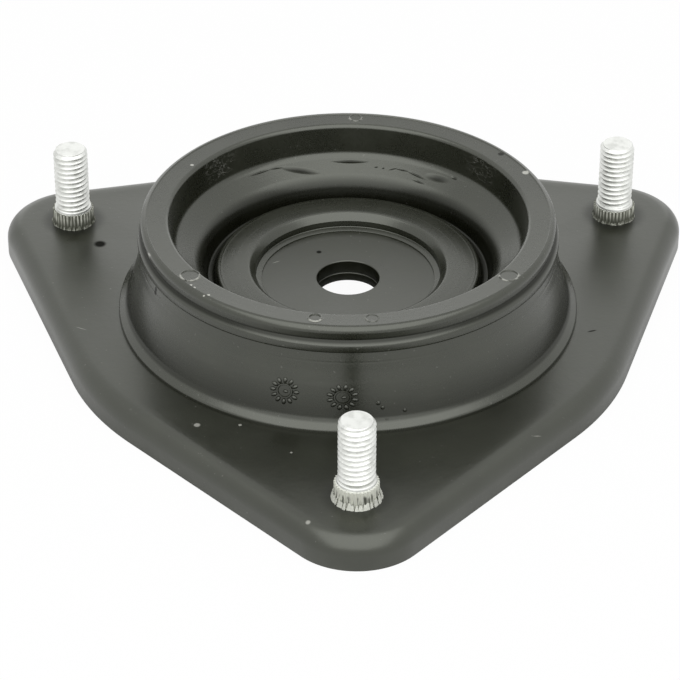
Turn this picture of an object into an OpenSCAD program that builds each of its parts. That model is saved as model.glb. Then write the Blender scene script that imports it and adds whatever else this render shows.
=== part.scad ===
// Strut top mount: a pressed three-stud plate with a drawn collar, a bonded
// rubber insulator and a two-layer core that takes the damper rod.
// Heights are drawn from the plate's upper (body) face. The origin is on the
// rod axis, in the bearing face under the core, and +Z is up.

/* [Mounting plate] */
// Diameter of the circle through the three studs
stud_circle_d = 148; // [140:1:164]
// Radius of the plate's outline round each stud
corner_r = 15.8; // [14:0.1:18]
// Distance from the axis to the plate's edge between two studs
bulge_r = 65.2; // [61:0.1:70]
// Thickness of the plate's sheet steel
plate_t = 3; // [2.4:0.1:3.6]
// Depth of the turned-down edge, from the plate's upper face
skirt_depth = 7.5; // [6.6:0.1:10]
// Outer radius of the bend into the turned-down edge
edge_bend_r = 4; // [3.8:0.1:5.2]

/* [Drawn collar] */
// Radius of the collar's outer face
collar_r = 44.4; // [43:0.1:46]
// Height of the collar above the plate's upper face
collar_h = 20.7; // [19:0.1:24]
// Radius of the bend between the plate's upper face and the collar
collar_bend_r = 2; // [1:0.1:3]
// Rounding of the collar's and the core's sheared edges
sheet_edge_r = 0.5; // [0.2:0.1:0.9]

/* [Studs] */
// Diameter of the studs' thread, over its crests
stud_d = 8; // [6:0.5:10]
// Length of stud above the plate's upper face
stud_l = 19.4; // [15:0.1:30]
// Bevel at the stud's free end
stud_tip = 0.6; // [0.4:0.1:1.5]
// How much thicker the pressed shank is than the thread
shank_extra = 1.8; // [1.3:0.1:2.4]
// Depth of the serrations that stand above the plate
serration_depth = 0.4; // [0.2:0.05:0.5]
// Height of the serrated band above the plate
serration_h = 4.2; // [2:0.1:6]
// Number of serrations round a stud
serrations = 32; // [24:1:40]
// Diameter of the stud's flat head under the plate
stud_head_d = 14; // [12.5:0.5:18]
// Thickness of the stud's head
stud_head_t = 2.6; // [2:0.1:3]
// Bevel round the head's lower edge
stud_head_bevel = 0.6; // [0.3:0.1:1]

/* [Core plates] */
// Diameter of the hole for the damper rod
rod_hole_d = 14; // [10:0.1:16]
// Height of the core plate's face above the mounting plate's upper face
core_z = 6.7; // [6:0.1:8]
// Thickness of the core plate's sheet steel
core_t = 3.2; // [2.6:0.1:3.4]
// Radius of the core plate's turned-up rim
core_rim_r = 25.4; // [24.5:0.1:26.5]
// Height of the turned-up rim above the core plate's face
core_rim_h = 2.6; // [2.2:0.1:3.2]
// Inner radius of the core plate's bend
core_bend_r = 1; // [0.6:0.1:1.4]
// Thickness of the backing plate under the core plate
backing_t = 2.2; // [1.7:0.1:2.6]
// How far the backing plate's edge lies inside the core plate's bend
backing_setback = 0.6; // [0.3:0.1:1]

/* [Rubber rim] */
// Rubber over the collar's top edge
rim_cap = 2.8; // [2:0.1:4]
// Rubber outside the collar, at the rim
rim_cover_out = 2.3; // [1.6:0.1:3]
// Rubber inside the collar, at the rim
rim_cover_in = 1.3; // [1:0.1:2.5]
// Rounding of the rim's outer edge
rim_round_out = 1.3; // [0.8:0.1:1.4]
// Rounding of the rim's inner edge
rim_round_in = 1; // [0.5:0.1:1.4]
// Width of the lip along the outer edge of the rim's top
rim_lip_out = 1.5; // [1.5:0.1:2]
// Depth of the rim's flat top below that lip
rim_flat_depth = 0.2; // [0.1:0.05:0.3]
// Distance from the rim's top down to the top of the bead
bead_drop = 4.2; // [3.6:0.1:5]
// Height of the bead round the rim
bead_h = 1.4; // [1.2:0.1:2]
// How far the bead stands out of the wall
bead_out = 0.5; // [0.4:0.05:0.8]
// Rounding of the bead's edges
bead_round = 0.5; // [0.3:0.05:0.6]
// Depth of the creases above and below the bead
crease_depth = 0.35; // [0.2:0.05:0.5]
// Height of the upper crease above the top of the bead
crease_rise = 1.1; // [0.8:0.1:1.4]

/* [Rubber foot] */
// Height of the wall's upper stretch, under the bead
wall_upper_h = 5; // [4:0.1:6]
// How much the wall widens over its upper stretch
wall_upper_flare = 0.85; // [0.5:0.05:1.2]
// How much the wall widens from there down to its foot
wall_flare = 2.8; // [2:0.1:3.6]
// Rounding of the wall where the wider flare begins
flare_round = 12; // [6:0.5:20]
// Width of the base lip outside the wall's foot
lip_w = 2; // [1.8:0.1:3]
// Thickness of the base lip at its edge
lip_t = 0.9; // [0.7:0.1:1.4]
// Rise of the base lip from its edge to the wall's foot
lip_rise = 1.4; // [1:0.1:1.8]
// Rounding of the base lip's edge
lip_round = 0.6; // [0.3:0.1:0.7]
// Rounding between the base lip and the wall
foot_round = 2.4; // [1.2:0.1:3]

/* [Rubber web] */
// Distance from the rim's top down to the sloping shelf's outer edge
shelf_drop = 7.7; // [7:0.1:8.4]
// Draft of the wall between the rim and the shelf
inner_draft = 0.8; // [0.3:0.1:1.2]
// Rounding between that wall and the shelf
shelf_foot_round = 2; // [1:0.1:2.4]
// Width of the sloping shelf
shelf_w = 6.7; // [6.3:0.1:7]
// Fall of the shelf towards the axis
shelf_fall = 3.3; // [2.8:0.1:3.8]
// Rounding of the shelf's inner edge
shelf_round = 4; // [3:0.1:4.4]
// Depth of the groove below the shelf's inner edge
groove_depth = 4.7; // [4.3:0.1:5.2]
// Width of the groove's floor
groove_floor_w = 1.4; // [1.2:0.1:1.6]
// Width of the slope from the groove's floor up to the raised ring
groove_slope_w = 0.8; // [0.5:0.1:1]
// Rounding of the groove's corners
groove_round = 0.6; // [0.3:0.1:0.7]
// Rubber over the top of the core plate's rim
ring_cap = 1.3; // [1.1:0.1:1.8]
// Rubber outside the core plate's rim
ring_cover_out = 4.2; // [3.8:0.1:4.5]
// Rubber inside the core plate's rim
ring_cover_in = 1.3; // [0.9:0.1:1.8]
// Rounding of the raised ring's inner edge
ring_round = 1; // [0.6:0.1:1.4]
// Rounding of the raised ring's outer edge
ring_edge_round = 0.7; // [0.4:0.1:0.9]
// Width of the slope from the ring's top into the recess
recess_slope_w = 1.4; // [1:0.1:1.8]
// Fall of the ring's top, from its inner edge to its outer edge
ring_fall = 0.8; // [0.4:0.1:1]
// Height of the recess's steep wall above the core plate's face
recess_wall_h = 2.1; // [1.6:0.1:2.4]
// Width of the rubber flash that laps onto the core plate
flash_w = 1.4; // [0.8:0.1:2]
// Thickness of that flash
flash_t = 0.3; // [0.2:0.1:0.6]
// Rubber under the core plate
under_cover = 1.3; // [1:0.1:1.5]
// Height of the web's hollow underside above the plate's upper face
hollow_z = 4.4; // [3.8:0.1:4.8]
// Distance from the core plate's rim to the hollow underside
hollow_from_core = 5; // [4:0.1:6]
// Distance from the collar to the hollow underside
hollow_from_collar = 3; // [2:0.1:4]
// Rounding of the hollow underside's corners
hollow_round = 2; // [1:0.1:3]
// Rubber edge on the collar's inner face, above the collar's bend
web_edge_h = 0.6; // [0.3:0.1:1.2]

/* [Hidden] */
$fn = 96;
// Cuts run this far past the faces they open
past = 1;
// Straight steps in a quarter turn of a rounded corner
quarter_steps = 6;
// The serrations' tips lie this far inside the wall of the stud hole
tip_relief = 0.1;

stud_angles = [30, 150, 270];
stud_circle_r = stud_circle_d / 2;
stud_r = stud_d / 2;
stud_hole_r = (stud_d + shank_extra) / 2;

collar_in_r = collar_r - plate_t;
collar_mid_r = collar_r - plate_t / 2;
collar_root_r = collar_r + collar_bend_r;
web_edge_z = collar_bend_r + web_edge_h;

rod_hole_r = rod_hole_d / 2;
core_under_z = core_z - core_t;
bearing_z = core_under_z - backing_t;
core_rim_z = core_z + core_rim_h;
core_rim_in_r = core_rim_r - core_t;
backing_r = core_rim_r - core_t - core_bend_r - backing_setback;

rim_z = collar_h + rim_cap;
rim_flat_z = rim_z - rim_flat_depth;
rim_r = collar_r + rim_cover_out;
rim_in_r = collar_in_r - rim_cover_in;
bead_r = rim_r + bead_out;
bead_z = rim_z - bead_drop;
bead_under_z = bead_z - bead_h;
crease_r = rim_r - crease_depth;
wall_upper_r = crease_r + wall_upper_flare;
foot_r = wall_upper_r + wall_flare;
lip_r = foot_r + lip_w;
shelf_r = rim_in_r - inner_draft;
shelf_z = rim_z - shelf_drop;
shelf_in_r = shelf_r - shelf_w;
shelf_in_z = shelf_z - shelf_fall;
groove_z = shelf_in_z - groove_depth;
ring_r = core_rim_r + ring_cover_out;
ring_z = core_rim_z + ring_cap;
groove_in_r = ring_r + groove_slope_w;
recess_r = core_rim_in_r - ring_cover_in;
flash_r = recess_r - flash_w;
web_under_z = core_under_z - under_cover;

// Rounded outlines: each corner is [x, y] or [x, y, radius]
function flat(p) = [p.x, p.y];
function unit(v) = v / norm(v);
function radius(p) = len(p) > 2 ? p[2] : 0;
function turned(a) = (a + 540) % 360 - 180;
function arc(centre, r, start, sweep) =
    let (steps = max(2, ceil(abs(sweep) / 90 * quarter_steps)))
    [for (i = [0 : steps]) centre + r * [cos(start + sweep * i / steps), sin(start + sweep * i / steps)]];
function corner(before, here, after, r) =
    let (
        u = unit(before - here),
        w = unit(after - here),
        half = acos(u * w) / 2,
        centre = here + unit(u + w) * r / sin(half),
        first = here + u * r / tan(half) - centre,
        last = here + w * r / tan(half) - centre,
        start = atan2(first.y, first.x)
    )
    arc(centre, r, start, turned(atan2(last.y, last.x) - start));
function rounded(path) =
    let (n = len(path))
    [for (i = [0 : n - 1])
        each radius(path[i]) == 0
            ? [flat(path[i])]
            : corner(flat(path[(i + n - 1) % n]), flat(path[i]), flat(path[(i + 1) % n]), path[i][2])];

// Puts the bearing face at the origin
module on_bearing_face() {
    translate([0, 0, -bearing_z])
        children();
}

module at_studs() {
    for (a = stud_angles)
        rotate(a)
            translate([stud_circle_r, 0, 0])
                children();
}

// Disc with a rounded upper edge, set in from the plate's outer skin
module rounded_disc(r, inset, below) {
    rotate_extrude()
        polygon(rounded([
            [0, -skirt_depth - below],
            [r - inset, -skirt_depth - below],
            [r - inset, -inset, edge_bend_r - inset],
            [0, -inset]
        ]));
}

// Outer or inner form of the pressed plate: three stud corners and a round middle
module pan(inset, below) {
    hull() {
        at_studs()
            rounded_disc(corner_r, inset, below, $fn = 48);
        rounded_disc(bulge_r, inset, below, $fn = 120);
    }
}

// Section of the collar that is drawn up out of the plate
module collar_section() {
    polygon(rounded([
        [collar_root_r, 0],
        [collar_r, 0, collar_bend_r],
        [collar_r, collar_h, sheet_edge_r],
        [collar_in_r, collar_h, sheet_edge_r],
        [collar_in_r, -plate_t, collar_bend_r + plate_t],
        [collar_root_r, -plate_t]
    ]));
}

module mounting_plate() {
    color("dimgray")
        on_bearing_face()
            difference() {
                union() {
                    difference() {
                        pan(0, 0);
                        pan(plate_t, past);
                        translate([0, 0, -skirt_depth])
                            cylinder(r = collar_root_r, h = skirt_depth + past);
                    }
                    rotate_extrude()
                        collar_section();
                }
                at_studs()
                    translate([0, 0, -plate_t - past])
                        cylinder(r = stud_hole_r, h = plate_t + 2 * past);
            }
}

// Section of the dished core plate
module core_section() {
    polygon(rounded([
        [rod_hole_r, core_z],
        [core_rim_in_r, core_z, core_bend_r],
        [core_rim_in_r, core_rim_z, sheet_edge_r],
        [core_rim_r, core_rim_z, sheet_edge_r],
        [core_rim_r, core_under_z, core_bend_r + core_t],
        [rod_hole_r, core_under_z]
    ]));
}

module core_plate() {
    color("dimgray")
        on_bearing_face()
            rotate_extrude()
                core_section();
}

// Section of the flat backing plate, seated on the core plate's underside
module backing_section() {
    translate([rod_hole_r, bearing_z])
        square([backing_r - rod_hole_r, backing_t]);
}

module backing_plate() {
    color("dimgray")
        on_bearing_face()
            rotate_extrude()
                backing_section();
}

// Outer section of the rubber, drawn through the steel that it is moulded round
module rubber_outline() {
    polygon(rounded([
        [lip_r, 0],
        [lip_r, lip_t, lip_round],
        [foot_r, lip_t + lip_rise, foot_round],
        [wall_upper_r, bead_under_z - wall_upper_h, flare_round],
        [crease_r, bead_under_z],
        [bead_r, bead_under_z, bead_round],
        [bead_r, bead_z, bead_round],
        [crease_r, bead_z + crease_rise, crease_depth],
        [rim_r, rim_z, rim_round_out],
        [rim_r - rim_lip_out, rim_z],
        [rim_r - rim_lip_out - rim_flat_depth, rim_flat_z],
        [rim_in_r, rim_flat_z, rim_round_in],
        [shelf_r, shelf_z, shelf_foot_round],
        [shelf_in_r, shelf_in_z, shelf_round],
        [groove_in_r + groove_floor_w, groove_z, groove_round],
        [groove_in_r, groove_z, groove_round],
        [ring_r, ring_z - ring_fall, ring_edge_round],
        [recess_r + recess_slope_w, ring_z, ring_round],
        [recess_r, core_z + recess_wall_h],
        [recess_r, core_z + 2 * flash_t],
        [flash_r, core_z + flash_t],
        [flash_r, web_under_z],
        [core_rim_r, web_under_z, hollow_round],
        [core_rim_r + hollow_from_core, hollow_z, hollow_round],
        [collar_in_r - hollow_from_collar, hollow_z, hollow_round],
        [collar_in_r, web_edge_z],
        [collar_mid_r, web_edge_z],
        [collar_mid_r, 0]
    ]));
}

module rubber_insulator() {
    color("#30312e")
        on_bearing_face()
            rotate_extrude()
                difference() {
                    rubber_outline();
                    collar_section();
                    core_section();
                    backing_section();
                }
}

// Half section of a stud: head, pressed shank and threaded length
module stud_section() {
    head_r = stud_head_d / 2;
    head_under_z = -plate_t - stud_head_t;
    polygon([
        [0, head_under_z],
        [head_r - stud_head_bevel, head_under_z],
        [head_r, head_under_z + stud_head_bevel],
        [head_r, -plate_t],
        [stud_hole_r, -plate_t],
        [stud_hole_r, 0],
        [stud_r, 0],
        [stud_r, stud_l - stud_tip],
        [stud_r - stud_tip, stud_l],
        [0, stud_l]
    ]);
}

// Ring of pressed serrations above the plate
module serrated_band() {
    tip_r = stud_hole_r - tip_relief;
    root_r = tip_r - serration_depth;
    step = 360 / serrations;
    linear_extrude(serration_h)
        polygon([
            for (i = [0 : serrations - 1])
                each [
                    tip_r * [cos(i * step), sin(i * step)],
                    root_r * [cos((i + 0.5) * step), sin((i + 0.5) * step)]
                ]
        ]);
}

module mounting_studs() {
    color("gainsboro")
        on_bearing_face()
            at_studs() {
                rotate_extrude()
                    stud_section();
                serrated_band();
            }
}

mounting_plate();
rubber_insulator();
core_plate();
backing_plate();
mounting_studs();
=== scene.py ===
import math
import random

import bmesh
import bpy
from mathutils import Matrix, Vector


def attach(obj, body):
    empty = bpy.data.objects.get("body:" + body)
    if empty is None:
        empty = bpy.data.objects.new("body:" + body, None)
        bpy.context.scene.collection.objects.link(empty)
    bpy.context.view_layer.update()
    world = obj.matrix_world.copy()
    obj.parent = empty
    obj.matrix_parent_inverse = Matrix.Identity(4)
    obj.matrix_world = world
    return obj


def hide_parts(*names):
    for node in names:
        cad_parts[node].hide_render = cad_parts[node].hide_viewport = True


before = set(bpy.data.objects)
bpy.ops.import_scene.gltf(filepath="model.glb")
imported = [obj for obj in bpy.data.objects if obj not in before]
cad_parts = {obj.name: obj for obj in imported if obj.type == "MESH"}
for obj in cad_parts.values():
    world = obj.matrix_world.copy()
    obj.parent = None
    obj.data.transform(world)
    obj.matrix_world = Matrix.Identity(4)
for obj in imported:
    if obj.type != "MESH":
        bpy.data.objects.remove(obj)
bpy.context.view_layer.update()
mm = 0.001
plateTop = -1.3  # the plate's upper face, in mm above the origin; section heights are taken from it
studAngles = (270, 30, 150)  # front, right, left
print("frame loaded:", ", ".join(sorted(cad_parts)))


# hand tools

def deselectAll():
    if bpy.context.mode != "OBJECT":
        bpy.ops.object.mode_set(mode="OBJECT")
    bpy.ops.object.select_all(action="DESELECT")


def takeUp(piece):
    deselectAll()
    piece.select_set(True)
    bpy.context.view_layer.objects.active = piece


def nameNew(name):
    piece = bpy.context.object
    piece.name = name
    piece.data.name = name
    return piece


def editAll():
    bpy.ops.object.mode_set(mode="EDIT")
    bpy.ops.mesh.select_mode(type="VERT")
    bpy.ops.mesh.select_all(action="SELECT")


def pick(kind, wanted):
    # selects the vertices, edges or faces that pass the test, by their place or normal
    bpy.ops.mesh.select_mode(type=kind)
    bpy.ops.mesh.select_all(action="DESELECT")
    mesh = bmesh.from_edit_mesh(bpy.context.object.data)
    parts = {"VERT": mesh.verts, "EDGE": mesh.edges, "FACE": mesh.faces}[kind]
    for part in parts:
        if wanted(part):
            part.select_set(True)
    mesh.select_flush_mode()
    bmesh.update_edit_mesh(bpy.context.object.data)


def faceOutward():
    bpy.ops.mesh.select_all(action="SELECT")
    bpy.ops.mesh.normals_make_consistent(inside=False)
    bpy.ops.object.mode_set(mode="OBJECT")


def drawPath(name, points):
    # a plane merged to one point, then pulled along the path
    deselectAll()
    bpy.ops.mesh.primitive_plane_add(size=mm)
    piece = nameNew(name)
    editAll()
    bpy.ops.mesh.merge(type="CENTER")
    bpy.ops.transform.translate(value=points[0])
    for here, after in zip(points, points[1:]):
        bpy.ops.mesh.extrude_vertices_move(TRANSFORM_OT_translate={"value": after - here})
    bpy.ops.mesh.select_all(action="SELECT")
    bpy.ops.mesh.remove_doubles(threshold=1e-6)
    return piece


def roundCorners(corners, step=15):
    # closed outline in mm: (across, up) or (across, up, radius)
    path = []
    count = len(corners)
    for i, corner in enumerate(corners):
        here = Vector(corner[:2])
        radius = corner[2] if len(corner) > 2 else 0
        if not radius:
            path.append(here)
            continue
        toBefore = (Vector(corners[i - 1][:2]) - here).normalized()
        toAfter = (Vector(corners[(i + 1) % count][:2]) - here).normalized()
        half = toBefore.angle(toAfter) / 2
        centre = here + (toBefore + toAfter).normalized() * radius / math.sin(half)
        first = here + toBefore * radius / math.tan(half) - centre
        last = here + toAfter * radius / math.tan(half) - centre
        sweep = first.angle_signed(last)
        steps = max(2, math.ceil(abs(math.degrees(sweep)) / step))
        for k in range(steps + 1):
            turned = Matrix.Rotation(-sweep * k / steps, 2) @ first
            path.append(centre + turned)
    return path


def spinProfile(name, corners, steps, base=plateTop):
    # lathe-turned piece about the Z axis, from a closed half section
    path = roundCorners(corners)
    path.append(path[0])
    points = [Vector((p.x, 0, p.y + base)) * mm for p in path]
    piece = drawPath(name, points)
    bpy.ops.mesh.spin(steps=steps, angle=2 * math.pi, center=(0, 0, 0), axis=(0, 0, 1))
    bpy.ops.mesh.select_all(action="SELECT")
    bpy.ops.mesh.remove_doubles(threshold=1e-6)
    faceOutward()
    return piece


def applyModifier(piece, kind, **settings):
    takeUp(piece)
    modifier = piece.modifiers.new(kind.title(), kind)
    for key, value in settings.items():
        setattr(modifier, key, value)
    bpy.ops.object.modifier_apply(modifier=modifier.name)


def bakePlace(piece):
    takeUp(piece)
    bpy.ops.object.transform_apply(location=True, rotation=True, scale=True)


def copyPiece(piece, name, placing):
    twin = piece.copy()
    twin.data = piece.data.copy()
    twin.name = name
    bpy.context.collection.objects.link(twin)
    twin.data.transform(placing)
    return twin


def joinPieces(main, others):
    takeUp(main)
    for other in others:
        other.select_set(True)
    bpy.ops.object.join()


def dress(piece, material, node, angle=40):
    takeUp(piece)
    bpy.ops.object.shade_smooth_by_angle(angle=math.radians(angle))
    piece.data.materials.clear()
    piece.data.materials.append(material)
    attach(piece, "root")
    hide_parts(node)
    print("piece", piece.name, len(piece.data.polygons), "faces")


def studSpot(angle):
    # middle of a stud at the plate's upper face, in mm
    turn = math.radians(angle)
    return Vector((math.cos(turn), math.sin(turn), 0)) * plateSize["circle"] + Vector((0, 0, plateTop))


# shader wiring

class Wire:
    # one shader value; sums on it add Math nodes
    def __init__(self, tree, socket=None):
        self.tree = tree
        self.socket = socket

    def node(self, kind, settings=None, sockets=None, out=0):
        made = self.tree.nodes.new(kind)
        for key, value in (settings or {}).items():
            setattr(made, key, value)
        for key, value in (sockets or {}).items():
            if isinstance(value, Wire):
                self.tree.links.new(value.socket, made.inputs[key])
            else:
                made.inputs[key].default_value = value
        return Wire(self.tree, made.outputs[out] if made.outputs else None)

    def sum(self, operation, *values):
        return self.node("ShaderNodeMath", {"operation": operation}, dict(enumerate(values)))

    def __add__(self, other):
        return self.sum("ADD", self, other)

    __radd__ = __add__

    def __sub__(self, other):
        return self.sum("SUBTRACT", self, other)

    def __rsub__(self, other):
        return self.sum("SUBTRACT", other, self)

    def __mul__(self, other):
        return self.sum("MULTIPLY", self, other)

    __rmul__ = __mul__

    def __truediv__(self, other):
        return self.sum("DIVIDE", self, other)

    def __rtruediv__(self, other):
        return self.sum("DIVIDE", other, self)

    def __pow__(self, other):
        return self.sum("POWER", self, other)

    def __abs__(self):
        return self.sum("ABSOLUTE", self)

    def most(self, other):
        return self.sum("MAXIMUM", self, other)

    def least(self, other):
        return self.sum("MINIMUM", self, other)

    def rise(self, low, high):
        # 0 below low, 1 above high, smooth between; low may be the larger
        if low > high:
            return 1 - self.rise(high, low)
        return self.node("ShaderNodeMapRange", {"interpolation_type": "SMOOTHSTEP"},
                         {"Value": self, "From Min": low, "From Max": high})


def newMaterial(name):
    material = bpy.data.materials.new(name)
    material.use_nodes = True
    material.node_tree.nodes.clear()
    wire = Wire(material.node_tree)
    return material, wire


def surface(wire, sockets, matt=None):
    # matt: share of a dull black that hides the gloss, for dirt and for painted shade in hollows
    shader = wire.node("ShaderNodeBsdfPrincipled", None, sockets)
    if matt:
        dirtAndShade = wire.node("ShaderNodeBsdfDiffuse", None, {"Color": (0.003, 0.003, 0.002, 1)})
        shader = wire.node("ShaderNodeMixShader", None, {0: matt, 1: shader, 2: dirtAndShade})
    wire.node("ShaderNodeOutputMaterial", None, {"Surface": shader})


def satinBlack(wire, look, colour, rough, normal, matt):
    # on a black this deep, nearly all that is seen is the gloss
    surface(wire, {"Base Color": colour, "Roughness": rough, "Normal": normal,
                   "Specular IOR Level": 1.0, "IOR": look["index"], "Specular Tint": look["tint"]}, matt)


def place(wire):
    # place on the part, in mm
    spot = wire.node("ShaderNodeTexCoord", None, None, "Object")
    return wire.node("ShaderNodeMapping", None, {"Vector": spot, "Scale": (1000, 1000, 1000)})


def split(wire, vector):
    return [wire.node("ShaderNodeSeparateXYZ", None, {"Vector": vector}, axis) for axis in "XYZ"]


def merge(wire, x, y, z):
    return wire.node("ShaderNodeCombineXYZ", None, {0: x, 1: y, 2: z})


def grain(wire, spot, size, detail=3, stretch=(1, 1, 1)):
    # noise whose features are about the given size in mm
    scale = [share / size for share in stretch]
    scaled = wire.node("ShaderNodeMapping", None, {"Vector": spot, "Scale": scale})
    return wire.node("ShaderNodeTexNoise", None, {"Vector": scaled, "Scale": 1.0, "Detail": detail})


def blend(wire, factor, first, second):
    return wire.node("ShaderNodeMix", {"data_type": "RGBA"},
                     {"Factor": factor, 6: first, 7: second}, 2)


def bump(wire, height, strength, distance, under=None):
    sockets = {"Height": height, "Strength": strength, "Distance": distance * mm}
    if under:
        sockets["Normal"] = under
    return wire.node("ShaderNodeBump", None, sockets)


def gapTo(wire, spot, centre):
    return wire.node("ShaderNodeVectorMath", {"operation": "DISTANCE"}, {0: spot, 1: centre}, "Value")


def near(wire, spot, centre, inner, outer):
    # 1 inside the inner distance from a point, 0 outside the outer one
    return gapTo(wire, spot, centre).rise(outer, inner)


def hoop(wire, spot, centre, radius, half):
    # soft ring round a point
    return abs(gapTo(wire, spot, centre) - radius).rise(half, 0.3 * half)


def lens(wire, spot, centre, half, turn=0, core=0.3):
    # soft ellipsoid turned about Z
    local = wire.node("ShaderNodeMapping", {"vector_type": "TEXTURE"},
                      {"Vector": spot, "Location": centre, "Scale": half,
                       "Rotation": (0, 0, math.radians(turn))})
    return wire.node("ShaderNodeVectorMath", {"operation": "LENGTH"}, {0: local}, "Value").rise(1, core)


def stroke(wire, spot, start, end, width, core=0.3, reach=0.58, depth=2.5):
    # lens laid along the line between two points, a little longer than the line
    first, last = Vector(start), Vector(end)
    along = last - first
    half = (along.length * reach, width, depth)
    turn = math.degrees(math.atan2(along.y, along.x))
    return lens(wire, spot, (first + last) / 2, half, turn, core)


def together(masks):
    total = masks[0]
    for mask in masks[1:]:
        total = total.most(mask)
    return total


# black coating on the pressed steel

coating = {
    "dark": (0.0050, 0.0056, 0.0020, 1), "light": (0.0085, 0.0094, 0.0045, 1),
    "dust": (0.16, 0.16, 0.145, 1), "pale": (0.30, 0.30, 0.27, 1), "soot": (0.002, 0.002, 0.001, 1),
    "roughness": 0.31, "index": 1.50, "tint": (0.97, 1, 0.91, 1),
    "broad": 26, "cloud": 7, "dustSize": 0.7, "peel": 1.6, "fine": 0.5,  # sizes of the grain, in mm
    "studFootShade": (5.2, 8.5), "studFootShadeMatt": 0.22, "darkMatt": 0.85,  # painted shade round the studs' feet, and how dull it is
    # specks: place, radius
    "paleSpecks": [
        ((-33.58, -47.76, plateTop), 0.45), ((-24.35, -47.94, plateTop), 0.25),
        ((-10.31, -82.51, plateTop), 0.4), ((14.67, -80.58, plateTop), 0.25),
        ((-13.46, -58.25, plateTop), 0.18),
    ],
    "darkSpecks": [((-57.43, 26.04, plateTop), 0.8), ((-6.39, 10.85, 5.4), 0.35)],
    # strokes: from, to, half width
    "darkStrokes": [((53.3, -13.4, plateTop), (55.7, -12.6, plateTop), 0.35)],
    "paleStrokes": [
        # the stroke at the rod hole's edge, near (5.3, -4.7), is painted light: the white floor seen through a
        # gap past the backing plate
        ((-17.3, 6.2, 5.4), (-15.2, 7.3, 5.4), 0.12), ((5.3, -4.7, 5.3), (5.9, -3.8, 5.3), 0.35),
        ((-61.5, -9.0, plateTop), (-58.8, -10.4, plateTop), 0.1),
        ((38.2, -52.4, plateTop), (40.6, -51.2, plateTop), 0.1),
    ],
}


def coatedSteel():
    material, wire = newMaterial("blackCoating")
    spot = place(wire)
    height = split(wire, spot)[2]
    broad = grain(wire, spot, coating["broad"], 3)
    cloud = grain(wire, spot, coating["cloud"], 4)
    peel = grain(wire, spot, coating["peel"], 2)
    fine = grain(wire, spot, coating["fine"], 2)
    tone = (cloud * 0.6 + broad * 0.4).rise(0.35, 0.65)
    colour = blend(wire, tone, coating["dark"], coating["light"])
    # painted shade round the studs' feet, and dust on the turned-down edge
    studFootShade = together([near(wire, spot, studSpot(angle), *coating["studFootShade"]) for angle in studAngles])
    edge = height.rise(-4.5, -8) * cloud.rise(0.35, 0.75)
    dust = grain(wire, spot, coating["dustSize"], 0).rise(0.79, 0.85) * broad.rise(0.4, 0.65)
    colour = blend(wire, dust * 0.5 + edge * 0.06, colour, coating["dust"])
    dark = together([near(wire, spot, *mark, 2.2 * mark[1]) for mark in coating["darkSpecks"]]
                    + [stroke(wire, spot, *mark) for mark in coating["darkStrokes"]])
    pale = together([near(wire, spot, *mark, 1.9 * mark[1]) for mark in coating["paleSpecks"]]
                    + [stroke(wire, spot, *mark) for mark in coating["paleStrokes"]])
    # the soot colour carries the dark specks and the painted shade round the studs' feet
    colour = blend(wire, dark.most(studFootShade * 0.7), colour, coating["soot"])
    colour = blend(wire, pale, colour, coating["pale"])
    uneven = (cloud - 0.5) * 0.07 + (broad - 0.5) * 0.08 + (fine - 0.5) * 0.06
    rough = coating["roughness"] + uneven + studFootShade * 0.12 + dark * 0.35
    normal = bump(wire, fine, 0.3, 0.03, bump(wire, peel, 0.25, 0.08))
    matt = (studFootShade * coating["studFootShadeMatt"]).most(dark * coating["darkMatt"])
    satinBlack(wire, coating, colour, rough, normal, matt)
    return material


# moulded rubber

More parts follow.
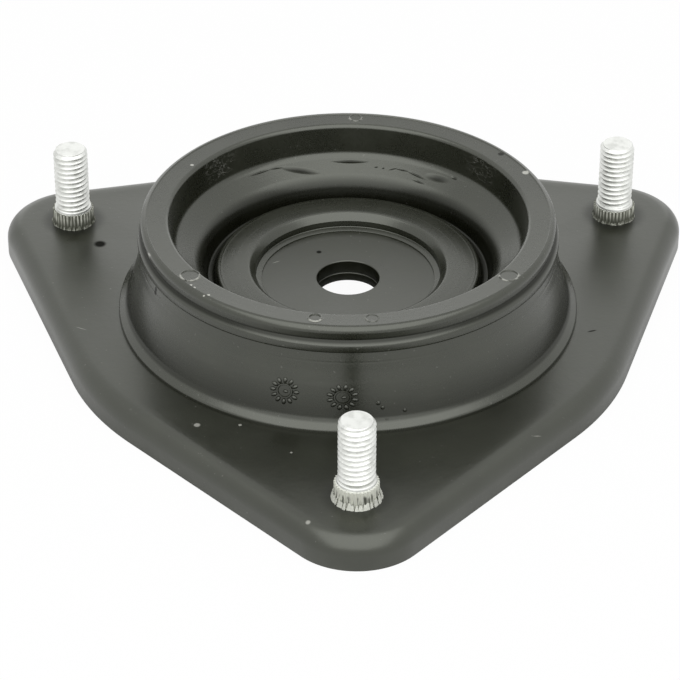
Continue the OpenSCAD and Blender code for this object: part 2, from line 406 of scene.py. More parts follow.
rubberLook = {
    "dark": (0.0050, 0.0056, 0.0020, 1), "light": (0.0090, 0.0099, 0.0048, 1),
    "bloom": (0.10, 0.10, 0.09, 1), "pale": (0.42, 0.42, 0.38, 1), "soot": (0.002, 0.002, 0.001, 1),
    "roughness": 0.28, "index": 1.50, "tint": (0.97, 1, 0.91, 1),
    "dents": [  # folds on the shelf, bumped in and darkened with painted shade: from, to, half width, depth
        ((-22.3, 30.9, 13.9), (-17.0, 34.2, 13.9), 0.30, 0.5),
        ((-17.6, 33.9, 13.9), (-14.2, 35.1, 13.8), 0.30, 0.5),
        ((-14.9, 34.9, 13.4), (-5.7, 34.6, 12.6), 0.95, 1.0),
        ((-2.8, 37.7, 13.7), (5.6, 37.4, 13.7), 0.55, 1.0),
        ((7.0, 35.9, 13.1), (7.9, 35.7, 13.1), 0.30, 0.5),
        ((8.8, 35.4, 13.1), (9.4, 35.2, 13.1), 0.30, 0.5),
        ((10.2, 34.7, 12.9), (12.6, 34.9, 13.3), 0.28, 0.5),
        ((11.8, 34.9, 13.3), (15.3, 33.4, 13.2), 0.30, 0.5),
        ((14.6, 33.7, 13.2), (18.9, 30.4, 12.8), 0.32, 0.6),
        ((15.7, 31.3, 12.4), (18.6, 29.3, 12.2), 0.30, 0.5),
        ((19.0, 31.6, 13.2), (24.2, 28.3, 13.4), 1.10, 0.9),
        ((24.8, 29.3, 14.0), (26.1, 28.2, 14.0), 0.40, 0.5),
    ],
    "pins": [  # ejector-pin rings on the rim: place, radius, share of the painted highlight on the front arc, which also sets the ring's height
        ((-34.93, -24.59, 21.98), 2.10, 0.75), ((-8.09, -41.80, 21.98), 1.40, 0.9),
        ((34.22, -25.94, 21.98), 2.10, 0.8), ((2.81, 43.50, 21.98), 1.45, 0.5),
        ((4.01, -42.11, 21.98), 1.40, 0.25),
    ],
    # pale chips and dark specks: place, radius
    "chips": [
        ((40.95, 17.59, 22.0), 0.55), ((-35.27, 22.47, 22.0), 0.30), ((-34.63, -28.40, 22.0), 0.22),
        ((-33.86, -29.42, 22.0), 0.22), ((-30.80, -32.45, 22.0), 0.25), ((-31.76, -32.82, 22.0), 0.18),
    ],
    "soots": [((35.88, 26.08, 22.0), 0.5), ((-42.77, -18.83, 14.8), 0.4), ((-42.77, -18.83, 14.0), 0.4)],
    # from, to, half width
    "scratches": [
        ((-45.9, -8.8, 21.9), (-45.3, -12.5, 21.9), 0.22),
        ((-45.1, -12.5, 21.9), (-43.6, -15.7, 21.9), 0.2),
    ],
    "scribbleSpots": [(-29.0, 27.2, 20.0), (31.5, 24.5, 20.4)],
    "cloud": 9, "fine": 0.8, "turning": 0.7, "streak": 2.2, "dustSize": 0.6,  # sizes of the grain, in mm
    "wallLine": 13.7, "ringStep": 28.7, "crease": 19.0,  # height of a line and of the crease, radius of a step
    # share of dull black: painted shade in the groove, at the wall's foot, in the crease and in the folds;
    # dull soot
    "grooveShade": 0.6, "footShade": 0.42, "creaseShade": 0.6, "sootMatt": 0.6, "foldShade": 0.5,
}


def mouldedRubber():
    material, wire = newMaterial("mouldedRubber")
    spot = place(wire)
    x, y, z = split(wire, spot)
    out = (x * x + y * y) ** 0.5
    cloud = grain(wire, spot, rubberLook["cloud"], 4)
    fine = grain(wire, spot, rubberLook["fine"], 3)
    rings = grain(wire, merge(wire, out, z * 0.6, 0.0), rubberLook["turning"], 2)
    streaks = grain(wire, spot, rubberLook["streak"], 3, (0.12, 0.12, 1))
    wall = out.rise(46.0, 46.6) * z.rise(20, 19)
    colour = blend(wire, cloud.rise(0.32, 0.68), rubberLook["dark"], rubberLook["light"])
    bloom = wall * streaks.rise(0.55, 0.8) * 0.09 + cloud.rise(0.6, 0.8) * 0.03
    dust = grain(wire, spot, rubberLook["dustSize"], 0).rise(0.80, 0.86) * 0.5
    colour = blend(wire, bloom + dust, colour, rubberLook["bloom"])
    # pale scribbled lines painted on the inner wall
    lines = abs(grain(wire, spot, 2.4, 2, (1, 1, 2.2)) - 0.5).rise(0.016, 0.004)
    scribbleMask = together([near(wire, spot, centre, 2, 7) for centre in rubberLook["scribbleSpots"]])
    inside = out.rise(40.4, 40.2) * z.rise(15.5, 16.5) * z.rise(21.6, 21.2)
    pale = together([near(wire, spot, *mark, 1.7 * mark[1]) for mark in rubberLook["chips"]]
                    + [stroke(wire, spot, *mark) for mark in rubberLook["scratches"]])
    broken = grain(wire, spot, 1.1, 2)
    # painted highlight on the front arc of each pin ring
    for centre, radius, share in rubberLook["pins"]:
        front = y.rise(centre[1] + 0.4 * radius, centre[1] - 0.2 * radius)
        highlightArc = hoop(wire, spot, centre, radius, 0.42) * front * broken.rise(0.35, 0.6)
        pale = pale.most(highlightArc * share)
    pale = pale.most(lines * scribbleMask * inside * 0.35)
    soot = together([near(wire, spot, *mark, 1.8 * mark[1]) for mark in rubberLook["soots"]])
    folds = together([stroke(wire, spot, start, end, width, 0) * depth
                      for start, end, width, depth in rubberLook["dents"]])
    # painted shade in the folds, in the soot colour, along with the real soot specks
    colour = blend(wire, soot.most(folds * 0.5), colour, rubberLook["soot"])
    colour = blend(wire, pale, colour, rubberLook["pale"])
    # mould turning marks on the raised ring, a line round the wall under the bead
    ringTop = out.rise(21, 22.5) * out.rise(30.2, 29.2)
    step = hoop(wire, merge(wire, out, 0.0, 0.0), (0, 0, 0), rubberLook["ringStep"], 0.25) * ringTop
    wallLine = abs(z - rubberLook["wallLine"]).rise(0.35, 0.08) * wall
    turned = (rings - 0.5) * (0.25 + ringTop * 0.9) + step * 0.8
    height = turned - wallLine * 0.7 + (streaks - 0.5) * wall * 0.6
    normal = bump(wire, fine, 0.25, 0.05)
    normal = bump(wire, height, 0.5, 0.06, normal)
    normal = bump(wire, 1 - folds, 1.0, 0.3, normal)
    uneven = (cloud - 0.5) * 0.10 + (fine - 0.5) * 0.08 + wall * (streaks - 0.5) * 0.12
    rough = rubberLook["roughness"] + uneven + folds * 0.25
    # painted shade, as dull black, in the groove, at the wall's foot and in the crease under the rim
    groove = out.rise(34.7, 32.4) * out.rise(29.6, 30.4)
    foot = wall * z.rise(11, 0.5) * out.rise(50.8, 50.2)
    crease = abs(z - rubberLook["crease"]).rise(0.75, 0.2) * out.rise(45.4, 45.8)
    matt = together([groove * rubberLook["grooveShade"], foot * rubberLook["footShade"],
                     crease * rubberLook["creaseShade"], soot * rubberLook["sootMatt"],
                     folds * rubberLook["foldShade"]])
    satinBlack(wire, rubberLook, colour, rough, normal, matt)
    return material


# bright zinc plating; the pressed-in bands at the studs' feet are dull, with painted shade near the plate

zincLook = {
    "bright": (0.77, 0.78, 0.75, 1), "dull": (0.62, 0.63, 0.60, 1),
    "band": (0.13, 0.135, 0.105, 1), "crest": (0.74, 0.75, 0.67, 1), "frontBand": (0.68, 0.69, 0.62, 1),
    "gap": (0.10, 0.105, 0.085, 1), "burr": (0.62, 0.63, 0.57, 1),
    "roughness": 0.48, "metallic": 0.8,
}


def zincPlating():
    material, wire = newMaterial("zincPlating")
    spot = place(wire)
    x, y, z = split(wire, spot)
    up = z - plateTop
    flat = merge(wire, x, y, plateTop)
    axisGap = gapTo(wire, flat, studSpot(studAngles[0]))
    for angle in studAngles[1:]:
        axisGap = axisGap.least(gapTo(wire, flat, studSpot(angle)))
    front = near(wire, flat, studSpot(studAngles[0]), 12, 14)
    cloud = grain(wire, spot, 2.2, 3)
    fine = grain(wire, spot, 0.45, 3)
    drawn = grain(wire, spot, 0.5, 2, (1, 1, 0.12))
    colour = blend(wire, cloud.rise(0.42, 0.72), zincLook["bright"], zincLook["dull"])
    # serrated band: dark between the crests; painted shade near the plate, where the crests fade
    crest = axisGap.rise(4.42, 4.72) * drawn.rise(0.3, 0.6)
    sides = blend(wire, crest * up.rise(0.4, 2.6), zincLook["band"], zincLook["crest"])
    nicks = drawn.rise(0.48, 0.62) * up.rise(0.5, 1.2) * up.rise(3.3, 2.4)
    ahead = blend(wire, nicks, zincLook["frontBand"], zincLook["gap"])
    banded = blend(wire, front, sides, ahead)
    burr = axisGap.rise(4.86, 4.98) * (front * 0.75 + fine.rise(0.42, 0.6) * 0.45)
    banded = blend(wire, burr.least(1), banded, zincLook["burr"])
    band = axisGap.rise(4.33, 4.39) * up.rise(4.6, 4.4) * up.rise(-0.4, -0.1)
    colour = blend(wire, band, colour, banded)
    rough = zincLook["roughness"] + (cloud - 0.5) * 0.2 + band * 0.2
    surface(wire, {"Base Color": colour, "Roughness": rough, "Metallic": zincLook["metallic"] - band * 0.5,
                   "Normal": bump(wire, fine, 0.3, 0.05)})
    return material


plateSize = {
    "circle": 74, "cornerRadius": 15.8, "bulgeRadius": 65.2, "thickness": 3,
    "skirt": 7.5, "bend": 4.0, "bendSteps": 10, "bendMargin": 1.5, "cornerSteps": 32, "bulgeSteps": 12,
    "collarRadius": 44.4, "collarBend": 2, "collarHeight": 20.7, "collarSides": 144, "collarSteps": 6,
    "studHole": 4.9, "drillSides": 64, "drillLength": 20,
}

blackCoating = coatedSteel()
blackRubber = mouldedRubber()
brightZinc = zincPlating()
print("materials ready")


# pressed plate: outline, turned-down edge, collar drawn up from it

def plateOutline():
    size = plateSize
    lean = math.degrees(math.acos((size["bulgeRadius"] - size["cornerRadius"]) / size["circle"]))
    points = []
    for angle in studAngles:
        centre = studSpot(angle).xy
        for k in range(size["cornerSteps"] + 1):
            turn = math.radians(angle - lean + 2 * lean * k / size["cornerSteps"])
            points.append(centre + Vector((math.cos(turn), math.sin(turn))) * size["cornerRadius"])
        gap = 120 - 2 * lean
        for k in range(size["bulgeSteps"] + 1):
            turn = math.radians(angle + lean + gap * k / size["bulgeSteps"])
            points.append(Vector((math.cos(turn), math.sin(turn))) * size["bulgeRadius"])
    return points


def makePlate():
    size = plateSize
    outline = plateOutline()
    flat = [Vector((p.x, p.y, plateTop)) * mm for p in outline]
    piece = drawPath("pressedPlate", flat + flat[:1])
    bpy.ops.mesh.edge_face_add()
    bpy.ops.mesh.inset(thickness=(size["bend"] + size["bendMargin"]) * mm, depth=0)
    top = plateTop * mm
    # skirt: the outer edge pulled down, then its corner rounded
    pick("EDGE", lambda edge: edge.is_boundary)
    bpy.ops.mesh.extrude_region_move(TRANSFORM_OT_translate={"value": (0, 0, -size["skirt"] * mm)})
    pick("EDGE", lambda edge: len(edge.link_faces) == 2 and
         abs(edge.link_faces[0].normal.z * edge.link_faces[1].normal.z) < 0.1 and
         max(abs(face.normal.z) for face in edge.link_faces) > 0.9)
    bpy.ops.mesh.bevel(offset=size["bend"] * mm, segments=size["bendSteps"], affect="EDGES",
                       clamp_overlap=False)
    # middle opened for the collar
    pick("FACE", lambda face: len(face.verts) > 20)
    bpy.ops.mesh.delete(type="ONLY_FACE")
    bpy.ops.mesh.select_mode(type="EDGE")
    bpy.ops.mesh.select_all(action="DESELECT")
    root = size["collarRadius"] + size["collarBend"]
    bpy.ops.mesh.primitive_circle_add(vertices=size["collarSides"], radius=root * mm, location=(0, 0, top))
    pick("EDGE", lambda edge: len(edge.link_faces) < 2 and
         all(abs(v.co.z - top) < 1e-6 for v in edge.verts))
    bpy.ops.mesh.fill(use_beauty=True)
    # collar drawn up round its bend
    pick("EDGE", lambda edge: edge.is_boundary and
         all(abs(v.co.xy.length - root * mm) < 1e-6 for v in edge.verts))
    radius, height = root, 0
    for k in range(1, size["collarSteps"] + 2):
        if k <= size["collarSteps"]:
            turn = math.pi / 2 * k / size["collarSteps"]
            newRadius = root - size["collarBend"] * math.sin(turn)
            newHeight = size["collarBend"] * (1 - math.cos(turn))
        else:
            newRadius, newHeight = size["collarRadius"], size["collarHeight"]
        lift = (0, 0, (newHeight - height) * mm)
        bpy.ops.mesh.extrude_region_move(TRANSFORM_OT_translate={"value": lift})
        ratio = newRadius / radius
        bpy.ops.transform.resize(value=(ratio, ratio, 1), center_override=(0, 0, 0))
        radius, height = newRadius, newHeight
    # the sheet's normals point up before it gets its thickness
    bpy.ops.mesh.select_all(action="SELECT")
    bpy.ops.mesh.normals_make_consistent(inside=False)
    pick("FACE", lambda face: True)
    mesh = bmesh.from_edit_mesh(piece.data)
    upward = sum(face.normal.z * face.calc_area() for face in mesh.faces)
    if upward < 0:
        bpy.ops.mesh.flip_normals()
    bpy.ops.object.mode_set(mode="OBJECT")
    applyModifier(piece, "SOLIDIFY", thickness=size["thickness"] * mm, offset=-1, use_even_offset=True)
    for k, angle in enumerate(studAngles):
        deselectAll()
        bpy.ops.mesh.primitive_cylinder_add(vertices=size["drillSides"], radius=size["studHole"] * mm,
                                            depth=size["drillLength"] * mm, location=studSpot(angle) * mm)
        drill = nameNew("drill%d" % k)
        applyModifier(piece, "BOOLEAN", operation="DIFFERENCE", solver="EXACT", object=drill)
        bpy.data.objects.remove(drill)
    return piece


pressedPlate = makePlate()
dress(pressedPlate, blackCoating, "mounting_plate", 30)


# rubber insulator, turned about the rod axis, with its mould marks

rubberSize = {
    "section": [
        (52.0, 0), (52.0, 0.9, 0.8), (50.0, 2.3, 1.7),              # base lip and foot
        (47.2, 12.9, 12), (46.35, 17.5),                            # flared wall
        (47.2, 17.4, 0.6), (47.2, 19.4, 0.8), (46.2, 20.4, 0.25),   # bead and its crease
        (46.7, 23.5, 1.3), (45.2, 23.5, 0.1), (45.0, 23.3, 0.1),    # rim
        (40.1, 23.3, 1.0), (39.3, 15.8, 2.0), (32.8, 12.6, 4.4),    # inner wall and shelf
        (31.8, 7.8, 0.6), (30.4, 7.8, 0.6),                         # groove
        (29.6, 10.0, 0.7), (22.3, 10.45, 1.0),                      # raised ring
        (20.9, 8.8, 0.3), (20.9, 7.3, 0.2), (19.5, 7.0, 0.1), (19.5, 6.7),  # recess and flash
        # round the core plate
        (22.2, 6.7, 1.0), (22.2, 9.3, 0.5), (25.4, 9.3, 0.5), (25.4, 3.5, 4.2),
        # underside
        (20.6, 3.5), (20.6, 2.2), (25.4, 2.2, 2), (30.4, 4.4, 2), (38.4, 4.4, 2), (41.4, 2.6),
        # round the collar
        (41.4, 20.7, 0.5), (44.4, 20.7, 0.5), (44.4, 0, 2), (46.4, 0),
    ],
    "steps": 240,
    "wallLow": (50.0, 2.3), "wallHigh": (47.2, 12.9),
    "petals": 12, "petalRing": 2.6, "petal": (0.50, 0.74, 0.42),
    "innerRing": 1.62, "innerWire": 0.30, "innerHeight": 0.9,
    "bead": (0.6, 0.4, 0.35), "beadSpot": (0.25, -0.1, 0),
    # mould rosettes on the wall: degrees round the axis, height over the plate, size, share of its height
    "rosettes": [(-107.65, 7.70, 1.0, 0.94), (-92.77, 7.38, 1.07, 0.84)],
    # pips on the wall: degrees round the axis, height over the plate, radius
    "pips": [(-83.82, 5.92, 0.55), (-82.77, 4.85, 0.50), (-77.15, 3.74, 0.50), (-81.80, 1.95, 0.60)],
    "pipWaist": -0.15, "pipHeight": 0.45, "pinWire": 0.24, "pinHeight": (0.4, 0.5),
}


def makePip():
    # low dome: a ball cut off under its waist
    deselectAll()
    bpy.ops.mesh.primitive_uv_sphere_add(segments=10, ring_count=6, radius=mm)
    pip = nameNew("pip")
    editAll()
    waist = (0, 0, rubberSize["pipWaist"] * mm)
    bpy.ops.mesh.bisect(plane_co=waist, plane_no=(0, 0, 1), use_fill=True, clear_inner=True)
    faceOutward()
    return pip


def makeRosette(pip):
    # ring of petals round a raised hoop, laid flat
    size = rubberSize
    deselectAll()
    bpy.ops.mesh.primitive_torus_add(major_radius=size["innerRing"] * mm, major_segments=28,
                                     minor_radius=size["innerWire"] * mm, minor_segments=6)
    rosette = nameNew("rosette")
    editAll()
    bpy.ops.transform.resize(value=(1, 1, size["innerHeight"]))
    bpy.ops.object.mode_set(mode="OBJECT")
    petals = []
    for k in range(size["petals"]):
        turn = Matrix.Rotation(2 * math.pi * k / size["petals"], 4, "Z")
        out = Matrix.Translation((0, size["petalRing"] * mm, 0))
        bulk = Matrix.Diagonal((*size["petal"], 1))
        petals.append(copyPiece(pip, "petal%d" % k, turn @ out @ bulk))
    shift = Matrix.Translation(Vector(size["beadSpot"]) * mm)
    petals.append(copyPiece(pip, "bead", shift @ Matrix.Diagonal((*size["bead"], 1))))
    joinPieces(rosette, petals)
    return rosette


def wrapOnWall(piece, azimuth, height):
    # lays a flat piece (x along, y up, z out) onto the sloping wall
    low, high = Vector(rubberSize["wallLow"]), Vector(rubberSize["wallHigh"])
    upWall = (high - low).normalized()
    outWall = Vector((upWall.y, -upWall.x))
    middle = low + upWall * (height - low.y) / upWall.y
    for vert in piece.data.vertices:
        along, up, out = vert.co / mm
        level = middle + upWall * up + outWall * out
        turn = math.radians(azimuth) + along / middle.x
        vert.co = Vector((math.cos(turn) * level.x, math.sin(turn) * level.x, level.y + plateTop)) * mm


def makePins():
    # raised rings that the ejector pins left on the rim
    rings = []
    lowest, growth = rubberSize["pinHeight"]
    for k, (centre, radius, share) in enumerate(rubberLook["pins"]):
        deselectAll()
        bpy.ops.mesh.primitive_torus_add(major_radius=radius * mm, major_segments=36,
                                         minor_radius=rubberSize["pinWire"] * mm, minor_segments=8)
        ring = nameNew("pinRing%d" % k)
        editAll()
        bpy.ops.transform.resize(value=(1, 1, lowest + growth * share))
        bpy.ops.transform.translate(value=Vector(centre) * mm)
        bpy.ops.object.mode_set(mode="OBJECT")
        rings.append(ring)
    return rings


def makeRubber():
    size = rubberSize
    piece = spinProfile("rubberInsulator", size["section"], size["steps"])
    pip = makePip()
    rosette = makeRosette(pip)
    marks = makePins()
    for k, (azimuth, height, scale, squash) in enumerate(size["rosettes"]):
        flatten = Matrix.Diagonal((scale, squash * scale, scale, 1))
        mark = copyPiece(rosette, "rosette%d" % k, flatten @ Matrix.Rotation(0.3 * k, 4, "Z"))
        wrapOnWall(mark, azimuth, height)
        marks.append(mark)
    for k, (azimuth, height, scale) in enumerate(size["pips"]):
        flatten = Matrix.Diagonal((scale, scale, size["pipHeight"] * scale, 1))
        mark = copyPiece(pip, "wallPip%d" % k, flatten)
        wrapOnWall(mark, azimuth, height)
        marks.append(mark)
    bpy.data.objects.remove(pip)
    bpy.data.objects.remove(rosette)
    joinPieces(piece, marks)
    return piece


rubberInsulator = makeRubber()
dress(rubberInsulator, blackRubber, "rubber_insulator", 35)


# core plate and backing plate

coreSize = {
    "section": [
        (7, 6.7, 0.35), (22.2, 6.7, 1.0), (22.2, 9.3, 0.5),
        (25.4, 9.3, 0.5), (25.4, 3.5, 4.2), (7, 3.5, 0.3),
    ],
    "steps": 160,
}
corePlate = spinProfile("corePlate", coreSize["section"], coreSize["steps"])
dress(corePlate, blackCoating, "core_plate", 35)

backingSize = {
    "section": [(7, 3.5, 0.3), (20.6, 3.5), (20.6, 1.3, 0.3), (7, 1.3, 0.3)],
    "steps": 160,
}
backingPlate = spinProfile("backingPlate", backingSize["section"], backingSize["steps"])
dress(backingPlate, blackCoating, "backing_plate", 35)


# studs: one is modelled at the origin, then copied to its three places

studSize = {
    "thread": 4.0, "pitch": 1.25, "length": 19.4, "threadFoot": 2.8,
    # one turn of the thread: radius, height
    "turn": [
        (3.4, 0), (3.4, 0.12), (3.94, 0.54), (4.0, 0.60), (4.0, 0.70), (3.94, 0.76), (3.4, 1.18), (3.4, 1.25),
    ],
    "turnSteps": 48, "tipRadius": 3.4, "tipHeight": 0.7,
    "lip": [(3.0, 4.1), (4.1, 4.1, 0.1), (4.31, 4.4, 0.15), (4.25, 4.9, 0.3), (3.5, 5.2), (3.0, 5.2)],
    "bandTop": 4.2, "bandTip": 4.8, "bandRoot": 4.4, "bandInset": 0.35, "bandDome": 0.2, "teeth": 34,
    "headRadius": 7, "headThickness": 2.6, "headBevel": 0.6, "shank": 4.9,
    "firstTurn": 40, "nextTurn": 97,  # degrees, so that the three studs don't look alike
    # torn-up slivers: width, thickness and height, then the shape of their tips
    "flakes": 38, "flake": (0.75, 0.34, 1.25),
    "flakeTip": (0.6, 0.55, 1), "flakeLean": (-0.42, 0.08, 0), "flakeBevel": 0.06, "flakeFoot": 0.02,
    # per stud: radius of the torn-up ring, height and width of its slivers, drop of the band's top
    "burrs": [(5.28, 1.0, 1.25, 0.2), (4.95, 0.55, 1.0, 1.1), (4.95, 0.55, 1.0, 0.6)],
}


def makeThread():
    size = studSize
    pitch = size["pitch"]
    foot = size["threadFoot"] - 2 * pitch
    thread = drawPath("thread", [Vector((radius, 0, up + foot)) * mm for radius, up in size["turn"]])
    bpy.ops.object.mode_set(mode="OBJECT")
    turns = math.ceil((size["length"] - foot) / pitch) + 1
    applyModifier(thread, "SCREW", angle=2 * math.pi, screw_offset=pitch * mm, iterations=turns,
                  steps=size["turnSteps"], render_steps=size["turnSteps"], use_merge_vertices=True,
                  merge_threshold=1e-6, use_smooth_shade=False)
    # chamfered end: crests brought in towards the tip
    for vert in thread.data.vertices:
        radius = vert.co.xy.length
        up = vert.co.z / mm - (size["length"] - size["tipHeight"])
        if up > 0:
            most = size["thread"] + (size["tipRadius"] - size["thread"]) * up / size["tipHeight"]
            shrink = min(1, most * mm / radius)
            vert.co.x *= shrink
            vert.co.y *= shrink
    takeUp(thread)
    editAll()
    bpy.ops.mesh.remove_doubles(threshold=1e-6)
    bpy.ops.mesh.select_all(action="SELECT")
    bpy.ops.mesh.bisect(plane_co=(0, 0, size["length"] * mm), plane_no=(0, 0, 1),
                        use_fill=True, clear_outer=True, threshold=1e-7)
    bpy.ops.mesh.select_all(action="SELECT")
    bpy.ops.mesh.bisect(plane_co=(0, 0, size["threadFoot"] * mm), plane_no=(0, 0, 1),
                        use_fill=True, clear_inner=True, threshold=1e-7)
    faceOutward()
    return thread


def makeShank():
    # head, pressed shank and the serrated band above the plate
    size = studSize
    sheet = plateSize["thickness"]
    under = -sheet - size["headThickness"]
    deselectAll()
    bpy.ops.mesh.primitive_cylinder_add(vertices=2 * size["teeth"], radius=size["headRadius"] * mm,
                                        depth=size["headThickness"] * mm,
                                        location=(0, 0, (under + size["headThickness"] / 2) * mm))
    shank = nameNew("shank")
    bakePlace(shank)
    editAll()
    pick("EDGE", lambda edge: all(abs(v.co.z - under * mm) < 1e-6 for v in edge.verts))
    bpy.ops.mesh.bevel(offset=size["headBevel"] * mm, segments=2, affect="EDGES")
    pick("FACE", lambda face: face.normal.z > 0.9)
    bpy.ops.mesh.inset(thickness=(size["headRadius"] - size["shank"]) * mm, depth=0)
    bpy.ops.mesh.extrude_region_move(TRANSFORM_OT_translate={"value": (0, 0, sheet * mm)})
    bpy.ops.mesh.inset(thickness=(size["shank"] - size["bandTip"]) * mm, depth=0)
    bpy.ops.mesh.extrude_region_move(TRANSFORM_OT_translate={"value": (0, 0, size["bandTop"] * mm)})
    # every other corner of the band pushed in makes the serrations
    step = math.pi / size["teeth"]
    pick("VERT", lambda vert: vert.co.z > -1e-6 and
         abs(vert.co.xy.length - size["bandTip"] * mm) < 2e-5 and
         round(math.atan2(vert.co.y, vert.co.x) / step) % 2 == 1)
    ratio = size["bandRoot"] / size["bandTip"]
    bpy.ops.transform.resize(value=(ratio, ratio, 1), center_override=(0, 0, 0))
    pick("FACE", lambda face: face.normal.z > 0.9 and face.calc_center_median().z > 1e-3)
    bpy.ops.mesh.inset(thickness=size["bandInset"] * mm, depth=size["bandDome"] * mm)
    faceOutward()
    return shank


def makeFlake():
    # sliver of metal torn up where the stud was pressed in
    size = studSize
    wide, thick, tall = size["flake"]
    deselectAll()
    bpy.ops.mesh.primitive_cube_add(size=mm)
    flake = nameNew("flake")
    editAll()
    bpy.ops.transform.resize(value=(thick, wide, tall))
    bpy.ops.transform.translate(value=(0, 0, tall / 2 * mm))
    pick("FACE", lambda face: face.normal.z > 0.9)
    bpy.ops.transform.resize(value=size["flakeTip"])
    bpy.ops.transform.translate(value=Vector(size["flakeLean"]) * mm)
    pick("EDGE", lambda edge: abs(edge.verts[0].co.z - edge.verts[1].co.z) > 1e-4)
    bpy.ops.mesh.bevel(offset=size["flakeBevel"] * mm, segments=1, affect="EDGES")
    faceOutward()
    return flake


def makeStuds():
    size = studSize
    thread = makeThread()
    lip = spinProfile("threadLip", size["lip"], 48, 0)
    shank = makeShank()
    flake = makeFlake()
    dice = random.Random(8)
    studs = []
    for k, angle in enumerate(studAngles):
        burrRadius, burrSize, burrWidth, drop = size["burrs"][k]
        turned = math.radians(size["firstTurn"] + size["nextTurn"] * k)
        stand = Matrix.Translation(studSpot(angle) * mm) @ Matrix.Rotation(turned, 4, "Z")
        lower = Matrix.Translation((0, 0, -drop * mm))
        stud = copyPiece(shank, "stud%d" % k, Matrix())
        for vert in stud.data.vertices:
            if vert.co.z > 0.8 * size["bandTop"] * mm:
                vert.co.z -= drop * mm
        stud.data.transform(stand)
        additions = [copyPiece(thread, "thread%d" % k, stand), copyPiece(lip, "lip%d" % k, stand @ lower)]
        for n in range(size["flakes"]):
            around = 2 * math.pi * (n + dice.uniform(-0.3, 0.3)) / size["flakes"]
            turn = Matrix.Rotation(around, 4, "Z")
            away = burrRadius + dice.uniform(-0.10, 0.14)
            out = Matrix.Translation((away * mm, 0, size["flakeFoot"] * mm))
            lean = Matrix.Rotation(dice.uniform(-0.12, 0.12), 4, "Z")
            grow = burrSize * dice.uniform(0.7, 1.25)
            bulk = Matrix.Diagonal((burrSize, burrWidth * dice.uniform(0.75, 1.3), grow, 1))
            additions.append(copyPiece(flake, "flake%d" % n, stand @ turn @ out @ lean @ bulk))
        joinPieces(stud, additions)
        studs.append(stud)
    for pattern in (shank, thread, lip, flake):
        bpy.data.objects.remove(pattern)
    joinPieces(studs[0], studs[1:])
    return nameNew("threadedStuds")


threadedStuds = makeStuds()
dress(threadedStuds, brightZinc, "mounting_studs", 35)


# stage: pale floor, soft light, camera

studio = {
    "floorSize": 6, "floorTone": 0.9, "shadowShare": 0.04, "shade": (62, 88),
    "worldLevel": 0.45,
    "lamps": [
        # name, place in metres, aim, size, watts
        ("overheadBox", (0, -0.54, 0.84), (0, 0, 0), (1.8, 1.85), 13.6),
        ("backBox", (0, 2.0, 0.55), (0, 0, 0), (1.9, 1.1), 3.6),
    ],
}
sensor = 36
cameraSet = {
    # angles in degrees, distance in mm; the focal length was fitted in pixels of a picture 680 wide
    "elevation": 33.0519, "azimuth": -1.52523, "distance": 711.735,
    "yaw": 0.142226, "pitch": 0.696481, "roll": 0.220453, "lens": 3126.81 / 680 * sensor,
}


def seenRays(wire):
    # the rays that should meet a white background: straight and through glass, and in reflections
    camera = wire.node("ShaderNodeLightPath", None, None, "Is Camera Ray")
    clear = wire.node("ShaderNodeLightPath", None, None, "Is Transmission Ray")
    glossy = wire.node("ShaderNodeLightPath", None, None, "Is Glossy Ray")
    return camera.most(clear), glossy


def makeFloor():
    deselectAll()
    floorLevel = (plateTop - plateSize["skirt"]) * mm
    bpy.ops.mesh.primitive_plane_add(size=studio["floorSize"], location=(0, 0, floorLevel))
    floor = nameNew("floor")
    bakePlace(floor)
    material, wire = newMaterial("paleFloor")
    tone = studio["floorTone"]
    matt = wire.node("ShaderNodeBsdfDiffuse", None, {"Color": (tone, tone, tone, 1)})
    glow = wire.node("ShaderNodeEmission", None, {"Color": (1, 1, 1, 1), "Strength": 1})
    seen, glossy = seenRays(wire)
    # in reflections the floor under the part stays in its shade
    openFloor = gapTo(wire, place(wire), (0, 0, floorLevel / mm)).rise(*studio["shade"])
    share = seen.most(glossy * openFloor) * (1 - studio["shadowShare"])
    mixed = wire.node("ShaderNodeMixShader", None, {0: share, 1: matt, 2: glow})
    wire.node("ShaderNodeOutputMaterial", None, {"Surface": mixed})
    floor.data.materials.append(material)


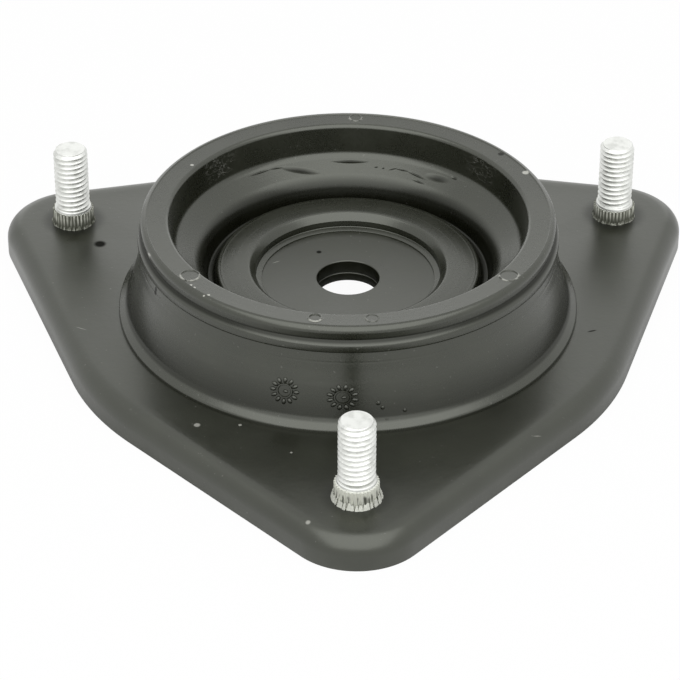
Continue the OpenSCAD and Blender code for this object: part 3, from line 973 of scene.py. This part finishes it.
def makeLight():
    world = bpy.data.worlds.new("studioWorld")
    bpy.context.scene.world = world
    world.use_nodes = True
    world.node_tree.nodes.clear()
    wire = Wire(world.node_tree)
    level = studio["worldLevel"]
    seen, glossy = seenRays(wire)
    strength = level + seen.most(glossy) * (1 - level)
    sky = wire.node("ShaderNodeBackground", None, {"Color": (1, 1, 1, 1), "Strength": strength})
    wire.node("ShaderNodeOutputWorld", None, {"Surface": sky})
    for name, spot, aim, size, watts in studio["lamps"]:
        lamp = bpy.data.lights.new(name, "AREA")
        lamp.shape = "RECTANGLE"
        lamp.size, lamp.size_y = size
        lamp.energy = watts
        holder = bpy.data.objects.new(name, lamp)
        bpy.context.collection.objects.link(holder)
        holder.location = spot
        holder.rotation_euler = (Vector(aim) - Vector(spot)).to_track_quat("-Z", "Y").to_euler()


def turnPair(first, second, angle):
    sine, cosine = math.sin(angle), math.cos(angle)
    return first * cosine + second * sine, second * cosine - first * sine


def makeCamera():
    # fitted to the studs, the rod hole, the rim and the plate's outline
    e, a = math.radians(cameraSet["elevation"]), math.radians(cameraSet["azimuth"])
    yaw, pitch, roll = (math.radians(cameraSet[key]) for key in ("yaw", "pitch", "roll"))
    back = Vector((math.sin(a) * math.cos(e), -math.cos(a) * math.cos(e), math.sin(e)))
    right = Vector((math.cos(a), math.sin(a), 0))
    up = back.cross(right)
    spot = back * cameraSet["distance"] + Vector((0, 0, plateTop))
    # small turns of the camera off its aim at the part
    back, right = turnPair(back, right, yaw)
    back, up = turnPair(back, up, pitch)
    right, up = turnPair(right, up, roll)
    optic = bpy.data.cameras.new("camera")
    optic.sensor_width = sensor
    optic.lens = cameraSet["lens"]
    optic.clip_start, optic.clip_end = 0.01, 50
    holder = bpy.data.objects.new("camera", optic)
    bpy.context.collection.objects.link(holder)
    turn = Matrix((right, up, back)).transposed().to_4x4()
    holder.matrix_world = Matrix.Translation(spot * mm) @ turn
    bpy.context.scene.camera = holder


makeFloor()
makeLight()
makeCamera()
bpy.context.scene.view_settings.view_transform = "Standard"
print("stage and camera set")

bpy.context.view_layer.update()
